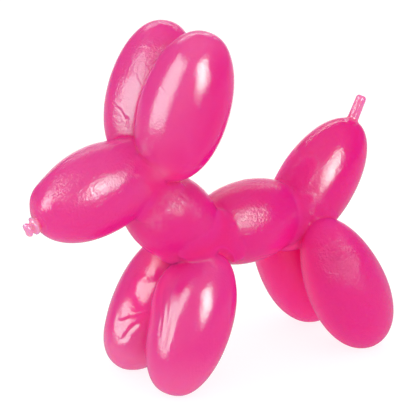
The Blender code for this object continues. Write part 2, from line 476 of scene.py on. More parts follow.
@dataclass
class Ripples(Swell):
    """Fine folds side by side, which run along a patch and spread where fan isn't zero."""

    spacing: float = 0.5
    fan: float = 0.0
    seed: int = 1

    def relief(self, bubble, points):
        x, y, weight = self.patch(bubble, points)
        wander = RIPPLE_WANDER * lumps(points, RIPPLE_WANDER_SIZE, self.seed)
        spread = np.maximum(1.0 + self.fan * x, LEAST_FAN)
        phase = y * self.width / 2 / self.spacing / spread + wander
        strength = weight * np.exp(-((x * x + y * y) ** 2))
        patchiness = lumps(points, RIPPLE_PATCH_SIZE, self.seed + PATCHINESS_SEED)
        strength *= 1.0 - RIPPLE_PATCHINESS + RIPPLE_PATCHINESS * patchiness
        return self.height * MM * strength * np.cos(2 * math.pi * phase)

    def fine_zone(self, bubble, points):
        x, y, weight = self.patch(bubble, points)
        return (x * x + y * y < RIPPLE_ZONE) & (weight > RIPPLE_WEIGHT)


@dataclass
class Crease:
    """A groove along a curve on a bubble, with raised lips. A step lifts the skin on its left side."""

    path: tuple
    width: float
    depth: float
    lip: float = 0.0
    step: float = 0.0
    reach: float = 1.0

    def curve(self, bubble):
        """A smooth curve through places given by share along the bubble's axis and angle."""
        path = [self.path[0], *self.path, self.path[-1]]
        places = []
        for four in zip(path, path[1:], path[2:], path[3:]):
            for k in range(CURVE_STEPS):
                s = k / CURVE_STEPS
                along, angle = (
                    0.5 * (2 * q + (r - p) * s + (2 * p - 5 * q + 4 * r - u) * s * s
                           + (3 * q - p - 3 * r + u) * s**3)
                    for p, q, r, u in zip(*four)
                )
                places.append(bubble.point(along, angle))
        places.append(bubble.point(*path[-1]))
        return np.array(places)

    def nearest(self, bubble, points, line):
        """Distance to the curve, signed distance to its left, and the share along it."""
        gap = np.full(len(points), np.inf)
        side = np.zeros(len(points))
        run = np.zeros(len(points))
        lengths = np.linalg.norm(np.diff(line, axis=0), axis=1)
        start = 0.0
        for a, b, length in zip(line, line[1:], lengths):
            way = (b - a) / length
            offset = points - a
            share = np.clip(offset @ way, 0.0, length)
            apart = offset - share[:, None] * way
            distance = np.linalg.norm(apart, axis=1)
            nearer = distance < gap
            out = a - bubble.centre
            left = np.cross(out / np.linalg.norm(out), way)
            gap = np.where(nearer, distance, gap)
            side = np.where(nearer, apart @ left, side)
            run = np.where(nearer, (start + share) / lengths.sum(), run)
            start += length
        return gap, side, run

    def around(self, bubble, points):
        line = self.curve(bubble)
        middle = line.mean(axis=0)
        spread = np.linalg.norm(line - middle, axis=1).max()
        margin = CREASE_MARGIN * self.width
        if self.step:
            margin = max(margin, STEP_MARGIN * self.reach)
        margin *= MM
        return line, np.flatnonzero(np.linalg.norm(points - middle, axis=1) < spread + margin)

    def relief(self, bubble, points):
        line, near = self.around(bubble, points)
        gap, side, run = self.nearest(bubble, points[near], line)
        half = self.width * MM / 2
        ends = np.clip(np.minimum(run, 1.0 - run) / CREASE_TAPER, 0.0, 1.0)
        ends = CREASE_END + (1.0 - CREASE_END) * ends * (2.0 - ends)
        lips = self.lip * np.exp(-((gap / half - LIP_PLACE) ** 2))
        profile = lips - self.depth * np.exp(-((gap / half) ** 2))
        rise = 0.5 * self.step * (1.0 + np.tanh(side / half)) * np.exp(-((gap / (self.reach * MM)) ** 2))
        total = np.zeros(len(points))
        total[near] = (profile + rise) * ends * MM
        return total

    def fine_zone(self, bubble, points):
        line, near = self.around(bubble, points)
        fine = np.zeros(len(points), dtype=bool)
        if self.width < WIDEST_FINE_CREASE:
            fine[near] = self.nearest(bubble, points[near], line)[0] < DETAIL_REACH
        return fine


# The relief of each bubble. A place on it is a share of its half length and an angle round its axis in
# degrees. Then come the length, width, height and turn of a swell, and ripples add their spacing, fan and
# seed. A crease has a path of places, then its width and depth. Sizes are in millimetres.
FEATURES = {
    "left_ear": (
        Swell(0.5, 47, 11.0, 6.0, 0.22),
        Crease(((0.19, 79), (0.15, 69), (0.1, 61)), 0.28, 0.05, lip=0.02),
        Swell(0.14, 92, 3.0, 1.2, 0.05, 70),
        Swell(-0.23, 60, 1.3, 0.9, -0.05),
        Swell(-0.62, 79, 1.6, 1.3, 0.05),
        Swell(-0.88, 45, 3.0, 2.6, 0.1),
        Crease(((-0.74, 62), (-0.8, 48), (-0.8, 36)), 0.3, 0.03, lip=0.02),
    ),
    "right_ear": (
        Swell(-0.05, 20, 17.0, 6.5, 0.5),
        Swell(-0.4, 64, 7.4, 5.2, -0.36),
        Swell(0.35, 84, 12.0, 4.4, -0.3),
        Swell(0.55, 52, 5.0, 5.0, 0.08),
        Swell(0.02, 60, 2.6, 2.2, -0.05),
        Swell(-0.66, 50, 4.0, 5.0, 0.1),
        Crease((
            (-0.24, 88), (-0.28, 80), (-0.31, 72), (-0.36, 66),
            (-0.41, 62), (-0.39, 58), (-0.46, 57), (-0.56, 57),
        ), 0.36, 0.07, lip=0.02, step=0.05, reach=1.2),
        Crease(((0.32, 63), (0.2, 57), (0.12, 50), (0.05, 42)), 0.3, 0.07, lip=0.03),
        Crease(((0.38, 50), (0.33, 44), (0.28, 39)), 0.28, 0.07, lip=0.03),
        Crease(((0.34, 68), (0.27, 70), (0.22, 71)), 0.28, 0.04, lip=0.02),
        Ripples(0.18, 48, 5.0, 3.0, 0.008, 10, 0.42, 0.25, 3),
        Ripples(-0.42, 74, 4.4, 3.0, 0.012, -6, 0.45, 0.2, 5),
        Ripples(-0.25, 56, 5.0, 3.4, 0.004, 4, 0.6, 0.2, 6),
    ),
    "muzzle": (
        Swell(0.06, -29, 9.0, 2.2, 0.06, 4),
        Swell(-0.24, -27, 6.0, 4.0, 0.12),
        Crease(((0.3, -37), (0.26, -36), (0.31, -30), (0.29, -22), (0.24, -24)), 0.26, 0.02, lip=0.01),
        Swell(-0.01, -24, 0.5, 0.4, -0.035),
        Swell(-0.26, -31, 1.2, 1.0, 0.03),
        Swell(0.84, -54, 3.6, 3.4, 0.24),
        Swell(0.5, -66, 5.0, 4.4, -0.12),
        Crease(((0.77, -51), (0.73, -51)), 0.3, 0.05, lip=0.02),
        Swell(0.76, -84, 1.5, 1.2, -0.05),
        Ripples(0.6, -92, 4.5, 3.0, 0.02, 25, 0.75, 0.3, 8),
        Crease(((0.52, -88), (0.4, -97), (0.16, -95), (-0.17, -85)), 0.4, 0.03, lip=0.03),
        Crease(((0.5, -66), (0.44, -74), (0.36, -76), (0.2, -77)), 0.3, 0.018, lip=0.02),
        Crease(((0.97, -64), (0.96, -20), (0.97, 39), (0.94, 60)), 0.35, 0.03, lip=0.03),
        Ripples(0.93, -10, 2.4, 5.0, 0.01, 0, 0.55, 0.6, 9),
    ),
    "neck": (
        Crease(((0.54, 42), (0.52, 8), (0.52, -28)), 1.5, -0.08),
        Crease(((0.52, -30), (0.2, -26), (-0.09, -22)), 1.5, -0.08),
        Crease(((0.5, -34), (0.36, -29), (0.2, -26)), 0.4, 0.05, lip=0.04),
        Ripples(0.53, 6, 2.2, 6.4, 0.04, 58, 0.4, 0.2, 13),
        Ripples(0.06, -22, 2.6, 4.4, 0.036, 40, 0.4, 0.2, 14),
        Crease(((0.46, 84), (0.23, 84), (-0.01, 73)), 0.5, 0.05, lip=0.05),
    ),
    "body": (
        Swell(0.25, -26, 7.0, 3.0, 0.02, 4),
        Crease(((0.63, -30), (0.65, -22), (0.66, -13)), 0.4, 0.05, lip=0.03),
        Ripples(0.35, -24, 5.0, 2.6, 0.008, 24, 0.5, 0.1, 15),
        Crease(((0.3, -97), (-0.05, -81), (-0.35, -71)), 0.4, 0.025, lip=0.03),
        Crease(((0.24, 48), (0.05, 44), (-0.2, 50)), 0.5, 0.04, lip=0.04),
    ),
    "left_front_leg": (
        Swell(-0.72, -62, 6.0, 7.0, -0.18),
        Swell(-0.8, -25, 4.6, 8.0, -0.3),
        Swell(0.62, -45, 6.0, 5.0, 0.05),
        Crease(((-0.1, -68), (0.09, -65), (0.23, -64), (0.36, -64), (0.48, -66)), 0.55, 0.05, lip=0.02),
        Crease(((-0.38, -107), (-0.18, -97), (0.06, -84), (0.31, -80)), 0.45, 0.03, lip=0.03),
        Crease(((-0.6, -92), (-0.3, -87), (-0.05, -78), (0.2, -73)), 0.4, 0.02, lip=0.02),
        Ripples(-0.05, -84, 9.0, 2.6, 0.005, 4, 0.36, 0.3, 16),
        Ripples(0.42, -66, 4.5, 2.6, 0.008, -6, 0.42, 0.3, 17),
        Crease(((0.56, -8), (0.52, -2), (0.48, 4)), 0.3, 0.045, lip=0.02),
        Crease(((0.73, -33), (0.76, -27)), 0.3, 0.045, lip=0.02),
        Ripples(0.7, -55, 3.0, 5.0, 0.01, 40, 0.65, 0.1, 18),
        Crease(((-0.8, -20), (-0.89, -64), (-0.86, -100)), 0.4, 0.03, lip=0.03),
    ),
    "right_front_leg": (
        Swell(-0.22, -5, 7.0, 9.0, 0.85),
        Swell(-0.5, -24, 7.0, 4.6, 0.8),
        Swell(-0.45, -86, 7.0, 4.6, -0.22),
        Swell(0.62, -20, 6.0, 6.0, 0.6),
        Crease((
            (-0.30, -84), (-0.12, -73), (0.0, -60), (0.10, -47), (0.16, -36),
        ), 2.2, 0.0, step=0.5, reach=3.0),
        Swell(-0.2, -28, 9.0, 4.0, 0.22),
        Swell(0.1, -64, 8.0, 9.0, -0.4),
        Swell(0.85, -45, 7.0, 8.0, 0.5),
        Crease(((0.4, -84), (0.36, -70), (0.3, -60), (0.24, -50)), 2.6, 0.12),
        Crease(((0.26, -40), (0.3, -44), (0.42, -50), (0.56, -55)), 1.8, 0.1),
        Crease(((0.38, -76), (0.36, -70), (0.32, -65), (0.25, -57)), 0.5, 0.11, lip=0.04, step=0.05),
        Crease((
            (0.26, -40), (0.28, -43), (0.36, -48), (0.44, -51), (0.54, -53), (0.58, -59),
        ), 0.55, 0.12, lip=0.04, step=0.05),
        Crease(((0.2, -54), (0.12, -46), (0.06, -38), (0.02, -30)), 0.35, -0.05, lip=-0.02),
        Crease(((-0.6, -26), (-0.36, -32), (-0.12, -33), (0.04, -36)), 0.3, -0.06, lip=-0.02),
        Ripples(-0.45, -64, 3.4, 2.6, 0.007, 20, 0.4, 0.2, 19),
        Ripples(-0.1, -62, 4.0, 2.0, 0.006, -4, 0.36, 0.2, 20),
        Crease(((0.74, -86), (0.73, -60), (0.68, -37), (0.58, -27)), 0.6, 0.04, lip=0.04),
    ),
    "tail": (
        Swell(0.14, 27, 9.0, 1.9, 0.035, 6),
        Swell(0.52, 33, 0.9, 0.5, 0.02),
    ),
    "left_hind_leg": (
        Swell(-0.6, -26, 7.0, 6.0, -0.16),
        Ripples(-0.6, -26, 6.0, 6.0, 0.01, 40, 0.55, 0.1, 22),
        Ripples(-0.2, -20, 8.0, 6.0, 0.006, 50, 0.8, 0.1, 23),
    ),
}

# The bubbles whose relief the hidden side mirrors, where that begins, how high the plain soles reach, and
# how far limbs that touch keep from the middle
MIRRORED = ("muzzle", "neck", "body", "tail", "left_hind_leg")
HIDDEN_SIDE = (0.5 * MM, 2.0 * MM)
SOLE_RISE = 0.8 * MM
MIDDLE_GAP = 0.03 * MM

# Unevenness of the skin and crumples of the knot: size of the lumps, height and seed
UNEVENNESS = ((5.0, 0.024, 11), (1.6, 0.005, 12), (0.45, 0.0022, 21))
CRUMPLES = ((0.95, 0.16, 31), (0.45, 0.07, 32))
CRUMPLE_START = (-0.1 * MM, 0.4 * MM)
CRUMPLE_REACH = 4.0 * MM


def knot_wrinkles(points):
    """The knot is a crumpled lump, with deep folds between its rolls."""
    beyond = (points - KNOT_PLACE) @ BUBBLES["muzzle"].axis
    away = np.linalg.norm(points - KNOT_PLACE, axis=1)
    share = smooth_step(beyond, *CRUMPLE_START) * (away < CRUMPLE_REACH)
    crumple = sum(height * lumps(points, size * MM, seed) for size, height, seed in CRUMPLES)
    return share * crumple * MM


def relief(points):
    """How far the skin stands out from the plain bubbles, in metres."""
    total = sum(height * MM * lumps(points, size * MM, seed) for size, height, seed in UNEVENNESS)
    other_side = points * (-1.0, 1.0, 1.0)
    hidden = smooth_step(-points[:, 0], *HIDDEN_SIDE)
    for name, features in FEATURES.items():
        for feature in features:
            total += feature.relief(BUBBLES[name], points)
            if name in MIRRORED:
                total += feature.relief(BUBBLES[name], other_side) * hidden
    total += knot_wrinkles(points)
    return total * smooth_step(points[:, 2], 0.0, SOLE_RISE)


def fine_zone(points):
    zone = np.zeros(len(points), dtype=bool)
    for name, features in FEATURES.items():
        for feature in features:
            zone |= feature.fine_zone(BUBBLES[name], points)
    knot = np.linalg.norm(points - KNOT_PLACE, axis=1) < KNOT_ZONE
    return zone | knot


def refine(mesh, wanted):
    """Splits the faces whose corners are all wanted into four."""
    work = bmesh.new()
    work.from_mesh(mesh)
    work.verts.ensure_lookup_table()
    faces = [face for face in work.faces if all(wanted[corner.index] for corner in face.verts)]
    edges = list({edge for face in faces for edge in face.edges})
    bmesh.ops.subdivide_edges(work, edges=edges, cuts=1, use_grid_fill=True)
    work.to_mesh(mesh)
    work.free()


def emboss(piece):
    """Moves the skin along its normals by the relief. Limbs that touch stay on their own sides."""
    mesh = piece.data
    points = read_points(mesh)
    fillet = fillets(points)
    moved = points + skin_normals(points, fillet) * relief(points)[:, None]
    side = np.sign(points[:, 0])
    least = np.minimum(np.abs(points[:, 0]), MIDDLE_GAP)
    moved[:, 0] = side * np.maximum(side * moved[:, 0], least)
    write_points(mesh, moved)


UNTANGLE_ROUNDS = 12
TURNED = 0.64
LONGEST_EDGE = 0.75 * MM


def untangle(piece):
    """Evens out the few spots at the bottoms of the notches where the relief folds the mesh over."""
    mesh = piece.data
    edges = edges_of(mesh)
    for _ in range(UNTANGLE_ROUNDS):
        points = read_points(mesh)
        flat = np.empty(len(points) * 3)
        mesh.vertices.foreach_get("normal", flat)
        normals = flat.reshape(-1, 3)
        around = 2.0 * relaxed(normals, edges) - normals
        turned = (around * normals).sum(axis=1) < TURNED * np.linalg.norm(around, axis=1)
        lengths = np.linalg.norm(points[edges[:, 0]] - points[edges[:, 1]], axis=1)
        turned[edges[lengths > LONGEST_EDGE]] = True
        touched = turned[edges].any(axis=1)
        turned[edges[touched]] = True
        if not turned.any():
            break
        write_points(mesh, np.where(turned[:, None], relaxed(points, edges), points))


def mix_value(low, high, share):
    return low + (high - low) * share


# Where one bubble's values give way to its neighbours', and how near to the twists a junction is
BUBBLE_EDGE = (0.3 * MM, 1.4 * MM)
JUNCTION_REACH = (3.0 * MM, 7.0 * MM)
SPOT_CORE = 0.4


def near_bubble(name, points):
    """One on the skin of a bubble, falling to zero on its neighbours."""
    return 1.0 - smooth_step(BUBBLES[name].distance(points), *BUBBLE_EDGE)


# Roughness of the surface
ROUGHNESS = 0.12
ROUGH_BUBBLES = {"neck": 0.22, "left_hind_leg": 0.22, "right_hind_leg": 0.22, "body": 0.17, "tail": 0.15}
ROUGH_JUNCTION = 0.22

# Painted crease shade: the red is painted darker and warmer in the folds between the bubbles and at one
# spot near the head. Depths in millimetres off the plain bubbles
FOLD_DEPTH = (0.05, 0.90)
FOLD_END = (10.0 * MM, 12.0 * MM)
PAINTED_CREASE_SHARE = 0.5
PAINTED_SHADE_SPOT_SHARE = 0.6
PAINTED_SHADE_SPOTS = (((5.9, -10.7, 32.4), 4.5),)

# Dull skin in the fillets and along the lines where two bubbles nearly touch. The same mask paints a sheen
# into the colour there, in place of the reflection that the dull skin loses
DULL_DEPTH = (0.015, 0.13)
CONTACT_REACH = (0.25, 0.8)
FULL_SHINE = 0.5
DULL_SHINE = 0.03
MATT_STRENGTH = 0.3
DULL_PATCHES = [
    ("left_hind_leg", Swell(-0.93, -20, 5.0, 7.0, 1.3), 0.9),
    ("left_hind_leg", Swell(-0.70, -50, 6.0, 4.0, 1.3), 0.5),
]
DULL_SPOTS = (
    ((5.2, -14.5, 34.6), 2.0), ((5.2, -13.1, 35.8), 1.8),
    ((4.4, 15.1, 24.7), 2.0), ((5.6, 17.3, 23.0), 2.0),
    ((2.5, 16.6, 29.7), 2.6), ((2.3, 15.8, 28.3), 2.8), ((2.5, 14.9, 26.8), 2.8),
)

# Painted fill light: the inner sides of the legs, where shade falls, are painted a brighter red; by
# distance from the middle, height and place
HIND_INSIDE = (5.0 * MM, 10.0 * MM)
HIND_PLACE = (6.0 * MM, 11.0 * MM)
LEG_TOP = (17.0 * MM, 23.0 * MM)
FRONT_INSIDE = (2.0 * MM, 6.0 * MM)
FRONT_PLACE = (-4.0 * MM, 0.0)
FRONT_FOOT = (6.0 * MM, 12.0 * MM)
FRONT_PAINTED_FILL = 0.8
PAINTED_FILL_SPOTS = (((5.0, 0.1, 18.9), 2.4),)

# Fine grain
GRAIN = 0.12
GRAIN_BUBBLES = {
    "muzzle": 0.22, "neck": 0.2, "body": 0.22, "tail": 0.15, "left_hind_leg": 0.35, "right_hind_leg": 0.35,
}
GRAINY_PATCHES = [
    ("right_ear", Swell(0.45, 56, 6.0, 6.0, 1.0), 0.5),
    ("right_ear", Swell(-0.10, 84, 8.0, 2.5, 1.0), 0.4),
    ("left_ear", Swell(-0.28, 58, 2.4, 1.8, 1.0), 0.4),
    ("muzzle", Swell(0.66, -52, 3.0, 3.0, 1.0), 0.5),
    ("body", Swell(0.25, -24, 9.0, 6.0, 1.0), 0.45),
    ("left_hind_leg", Swell(-0.62, -26, 8.0, 6.0, 1.0), 1.6),
]

# Painted shade: a deeper red on the rear bubbles and on patches turned from the light, where the rubber
# reflects less of the room
PAINTED_SHADE_BUBBLES = {"neck": 0.9, "body": 0.85, "tail": 0.95, "left_hind_leg": 0.8, "right_hind_leg": 0.6}
PAINTED_SHADE_PATCHES = [
    ("left_ear", Swell(-0.2, -20, 22.0, 7.0, 1.3), 0.9),
    ("left_ear", Swell(-0.75, 30, 8.0, 10.0, 1.3), 0.8),
    ("muzzle", Swell(-0.2, 40, 18.0, 7.0, 1.3), 0.9),
    ("left_front_leg", Swell(0.1, 40, 18.0, 6.0, 1.3), 0.7),
]

# Painted light: the knot and stub paler for light through thin rubber, the feet paler for the floor's
# reflection, and painted sheen and floor reflection in patches and streaks
KNOT_EDGE = (-0.3 * MM, 0.3 * MM)
STUB_PAINTED_GLOW = 0.62
STUB_START = (0.75 * STUB_DEPTH, 1.1 * STUB_DEPTH)
STUB_REACH = 1.6 * MM
FOOT_PAINTED_REFLECTION = 0.22
FAR_FOOT_SHARE = 1.4
FOOT_TOP = (2.0 * MM, 9.0 * MM)
FRONT_END = (0.0, 4.0 * MM)
PAINTED_SHEEN_PATCHES = [
    ("left_ear", Swell(0.45, 48, 14.0, 5.0, 1.2), 0.08),
    ("left_ear", Swell(-0.5, 60, 8.0, 6.0, 1.2), 0.09),
    ("left_ear", Swell(-0.88, 45, 2.6, 2.6, 1.3), 0.2),
    ("left_ear", Swell(-0.62, 79, 1.4, 1.0, 1.3), 0.2),
    ("left_ear", Swell(0.92, 60, 5.0, 7.0, 1.2), 0.08),
    ("right_front_leg", Swell(0.76, -62, 2.6, 8.0, 1.2), 0.12),
    ("left_front_leg", Swell(0.85, -60, 6.0, 8.0, 1.2), 0.05),
    ("muzzle", Swell(0.7, 60, 12.0, 3.0, 1.2), 0.06),
]
PAINTED_SHEEN_STREAKS = [
    ("neck", Crease(((0.50, 46), (0.56, 30), (0.60, 8), (0.60, -16), (0.56, -30)), 2.8, -1.0), 0.40),
    ("neck", Crease(((0.60, -24), (0.44, -26), (0.2, -24), (-0.09, -20)), 2.4, -1.0), 0.32),
]
STREAK_SPECKLE = 0.45 * MM
SPECKLE_SHARE = 0.4
SPECKLE_SEED = 61


def by_bubble(points, ground, values):
    """A value on the skin that differs from bubble to bubble and changes smoothly between them."""
    total = np.full(len(points), ground)
    for name, value in values.items():
        total = np.maximum(total, mix_value(ground, value, near_bubble(name, points)))
    return total


def near_twists(points):
    nearness = np.zeros(len(points))
    for place in TWISTS.values():
        away = np.linalg.norm((points - place)[:, 1:], axis=1)
        nearness = np.maximum(nearness, 1.0 - smooth_step(away, *JUNCTION_REACH))
    return nearness


def near_spots(points, spots):
    """One at the spots, given in millimetres on the left side, and at their mirror images."""
    places = np.abs(points * (1, 0, 0)) + points * (0, 1, 1)
    nearness = np.zeros(len(points))
    for spot, reach in spots:
        away = np.linalg.norm(places - np.array(spot) * MM, axis=1)
        nearness = np.maximum(nearness, 1.0 - smooth_step(away, SPOT_CORE * reach * MM, reach * MM))
    return nearness


def within_patch(name, patch, points):
    """One in the middle of a patch: the higher the patch, the wider that middle."""
    return np.minimum(patch.relief(BUBBLES[name], points) / MM, 1.0)


def fold_measures(points):
    """Distances in millimetres to the nearest bubble, zero far from the twists, and to the second."""
    distances = np.sort([bubble.distance(points) for bubble in BUBBLES.values()], axis=0) / MM
    away = np.min([np.linalg.norm((points - place)[:, 1:], axis=1) for place in TWISTS.values()], axis=0)
    return distances[0] * (1.0 - smooth_step(away, *FOLD_END)), distances[1]


def dullness_and_painted_sheen(points):
    """One in the fillets between the bubbles and along the lines where they touch, where the skin is dull
    and a painted sheen lightens its colour.
    """
    depth, second = fold_measures(points)
    value = np.maximum(smooth_step(depth, *DULL_DEPTH), 1.0 - smooth_step(second, *CONTACT_REACH))
    value = np.maximum(value, near_spots(points, DULL_SPOTS))
    for name, patch, duller in DULL_PATCHES:
        value = np.maximum(value, duller * within_patch(name, patch, points))
    return value


def mattness(points):
    return MATT_STRENGTH * dullness_and_painted_sheen(points)


def painted_fill_light(points):
    """One between the legs of a pair, where a brighter red is painted to lift the shade that falls there.
    """
    from_middle = np.abs(points[:, 0])
    low = 1.0 - smooth_step(points[:, 2], *LEG_TOP)
    hind = (1.0 - smooth_step(from_middle, *HIND_INSIDE)) * low * smooth_step(points[:, 1], *HIND_PLACE)
    front = 1.0 - smooth_step(points[:, 1], *FRONT_PLACE)
    front *= FRONT_PAINTED_FILL * (1.0 - smooth_step(from_middle, *FRONT_INSIDE))
    front *= smooth_step(points[:, 2], *FRONT_FOOT) * low
    return np.maximum(np.maximum(hind, front), near_spots(points, PAINTED_FILL_SPOTS))


def painted_crease_shade_share(points):
    """Painted crease shade: the red is painted darker and warmer in the folds, where shade falls."""
    crease_shade = PAINTED_CREASE_SHARE * smooth_step(fold_measures(points)[0], *FOLD_DEPTH)
    return np.maximum(crease_shade, PAINTED_SHADE_SPOT_SHARE * near_spots(points, PAINTED_SHADE_SPOTS))


def roughness(points):
    value = by_bubble(points, ROUGHNESS, ROUGH_BUBBLES)
    return np.maximum(value, mix_value(ROUGHNESS, ROUGH_JUNCTION, near_twists(points)))


def graininess(points):
    value = by_bubble(points, GRAIN, GRAIN_BUBBLES)
    for name, patch, grain in GRAINY_PATCHES:
        value = np.maximum(value, mix_value(GRAIN, grain, within_patch(name, patch, points)))
    return value


def painted_shade_share(points):
    """How much painted shade deepens the red: the back of the toy and a few patches are painted darker, so
    the front looks a little paler.
    """
    value = by_bubble(points, 0.0, PAINTED_SHADE_BUBBLES)
    for name, patch, depth in PAINTED_SHADE_PATCHES:
        value = np.maximum(value, depth * within_patch(name, patch, points))
    return value


def painted_light_paleness(points):
    """How much painted light pales the rubber: light through the thin knot and stub, the floor's
    reflection on the feet, and sheen on patches and streaks.
    """
    beyond = (points - KNOT_PLACE) @ BUBBLES["muzzle"].axis
    knot = smooth_step(beyond, *KNOT_EDGE)
    height = (points - STUB_PLACE) @ STUB_AXIS
    away = np.linalg.norm(points - STUB_PLACE - height[:, None] * STUB_AXIS, axis=1)
    stub = STUB_PAINTED_GLOW * smooth_step(height, *STUB_START) * (away < STUB_REACH)
    front = 1.0 - smooth_step(points[:, 1], *FRONT_END)
    feet = FOOT_PAINTED_REFLECTION * front * (1.0 - smooth_step(points[:, 2], *FOOT_TOP))
    feet *= np.where(points[:, 0] < 0.0, FAR_FOOT_SHARE, 1.0)
    value = np.maximum(np.maximum(knot, stub), feet)
    for name, patch, paler in PAINTED_SHEEN_PATCHES:
        value += paler * within_patch(name, patch, points)
    speckle = 1.0 - SPECKLE_SHARE + SPECKLE_SHARE * lumps(points, STREAK_SPECKLE, SPECKLE_SEED)
    for name, streak, paler in PAINTED_SHEEN_STREAKS:
        value += paler * speckle * streak.relief(BUBBLES[name], points) / MM
    return np.clip(value, 0.0, 1.0)


SKIN_VALUES = {
    "rough": roughness, "grain": graininess, "painted_shade": painted_shade_share, "painted_light_pale": painted_light_paleness,
    "matt": mattness, "dull_and_painted_sheen": dullness_and_painted_sheen, "painted_fill_light": painted_fill_light, "painted_crease_shade": painted_crease_shade_share,
}


def write_attribute(mesh, name, values):
    attribute = mesh.attributes.new(name, "FLOAT", "POINT")
    attribute.data.foreach_set("value", values.astype(np.float32))


class Graph:
    """The nodes of a material or of the world."""

    def __init__(self, tree):
        self.nodes = tree.nodes
        self.links = tree.links

    def feed(self, socket, value):
        """Gives a socket a value, or links it to the output of another node."""
        if isinstance(value, bpy.types.NodeSocket):
            self.links.new(value, socket)
        else:
            socket.default_value = value

    def add(self, kind, inputs=None, **settings):
        node = self.nodes.new(kind)
        for name, value in settings.items():
            setattr(node, name, value)
        for name, value in (inputs or {}).items():
            self.feed(node.inputs[name], value)
        return node

    def coordinates(self, kind):
        return self.add("ShaderNodeTexCoord").outputs[kind]

    def ray_is(self, kind):
        return self.add("ShaderNodeLightPath").outputs[f"Is {kind} Ray"]

    def attribute(self, name):
        return self.add("ShaderNodeAttribute", attribute_name=name).outputs["Fac"]

    def noise(self, place, scale, detail):
        node = self.add("ShaderNodeTexNoise", {"Vector": place, "Scale": scale, "Detail": detail})
        return node.outputs["Fac"]

    def math(self, operation, first, second):
        return self.add("ShaderNodeMath", {0: first, 1: second}, operation=operation).outputs["Value"]

    def vector_math(self, operation, output, *vectors):
        node = self.add("ShaderNodeVectorMath", dict(enumerate(vectors)), operation=operation)
        return node.outputs[output]

    def mapped(self, value, reach, levels=(0.0, 1.0), course="LINEAR"):
        """Goes from the first level to the second while the value passes through its reach."""
        sockets = {
            "Value": value,
            "From Min": reach[0],
            "From Max": reach[1],
            "To Min": levels[0],
            "To Max": levels[1],
        }
        return self.add("ShaderNodeMapRange", sockets, interpolation_type=course).outputs["Result"]

    def mixed(self, share, first, second, kind="FLOAT"):
        """The first where the share is zero, the second where it is one."""
        node = self.add("ShaderNodeMix", data_type=kind)
        sockets = [socket for socket in node.inputs if socket.enabled]
        for socket, value in zip(sockets, (share, first, second)):
            self.feed(socket, value)
        return [socket for socket in node.outputs if socket.enabled][0]


def new_material(name):
    material = bpy.data.materials.new(name)
    material.use_nodes = True
    material.node_tree.nodes.clear()
    return material, Graph(material.node_tree)


# Rubber: the colours in the order in which they lie over each other, and the sizes of the noises
RED = (0.80, 0.038, 0.31, 1.0)
FADED = (0.84, 0.055, 0.33, 1.0)
COLOUR_LAYERS = {
    # painted shade: a deeper red where less light is reflected
    "painted_shade": (0.80, 0.001, 0.255, 1.0),
    # painted fill light: a brighter red between the legs, where shade falls
    "painted_fill_light": (0.97, 0.012, 0.30, 1.0),
    # dull skin, with a painted sheen in its colour
    "dull_and_painted_sheen": (0.84, 0.036, 0.30, 1.0),
    # painted crease shade: a darker, warmer red in the folds
    "painted_crease_shade": (0.90, 0.020, 0.22, 1.0),
    # painted light: paler for light through thin parts, for the floor's reflection and for sheen
    "painted_light_pale": (0.86, 0.31, 0.49, 1.0),
}
CLOUD_SCALE = 420.0
CLOUD_REACH = (0.35, 0.80)
CLOUD_SHARE = 0.35
SPECKLE_SCALE = 2500.0
SPECKLE_REACH = (0.3, 0.7)
SPECKLE_LEVELS = (-0.02, 0.02)
GRAIN_SCALE = 2800.0
MATT_SCALE = 9000.0
COARSE_DETAIL = 3.0
FINE_DETAIL = 2.0
GRAIN_HEIGHT = 0.00036
RUBBER_IOR = 1.5
SCATTER_RADIUS = (1.0, 0.12, 0.3)
SCATTER_SCALE = 0.006


def rubber_colour(graph, place):
    clouds = graph.noise(place, CLOUD_SCALE, COARSE_DETAIL)
    clouds = graph.mapped(clouds, CLOUD_REACH, (0.0, CLOUD_SHARE))
    colour = graph.mixed(clouds, RED, FADED, "RGBA")
    for name, layer in COLOUR_LAYERS.items():
        colour = graph.mixed(graph.attribute(name), colour, layer, "RGBA")
    return colour


def rubber_roughness(graph, place):
    speckle = graph.noise(place, SPECKLE_SCALE, FINE_DETAIL)
    speckle = graph.mapped(speckle, SPECKLE_REACH, SPECKLE_LEVELS)
    return graph.math("ADD", graph.attribute("rough"), speckle)


def rubber_grain(graph, place):
    grain = graph.noise(place, GRAIN_SCALE, COARSE_DETAIL)
    grain = graph.math("MULTIPLY", grain, graph.attribute("grain"))
    matt = graph.noise(place, MATT_SCALE, FINE_DETAIL)
    matt = graph.math("MULTIPLY", matt, graph.attribute("matt"))
    height = graph.math("ADD", grain, matt)
    return graph.add("ShaderNodeBump", {"Distance": GRAIN_HEIGHT, "Height": height}).outputs["Normal"]


def pink_rubber():
    """Glossy rubber that scatters light, with the colours and values that are stored on the skin."""
    material, graph = new_material("pink_rubber")
    place = graph.coordinates("Object")
    shader = graph.add("ShaderNodeBsdfPrincipled", {
        "Base Color": rubber_colour(graph, place),
        "Roughness": rubber_roughness(graph, place),
        "Normal": rubber_grain(graph, place),
        "Specular IOR Level": graph.mixed(graph.attribute("dull_and_painted_sheen"), FULL_SHINE, DULL_SHINE),
        "IOR": RUBBER_IOR,
        "Subsurface Weight": 1.0,
        "Subsurface Radius": SCATTER_RADIUS,
        "Subsurface Scale": SCATTER_SCALE,
    })
    graph.add("ShaderNodeOutputMaterial", {"Surface": shader.outputs["BSDF"]})
    return material


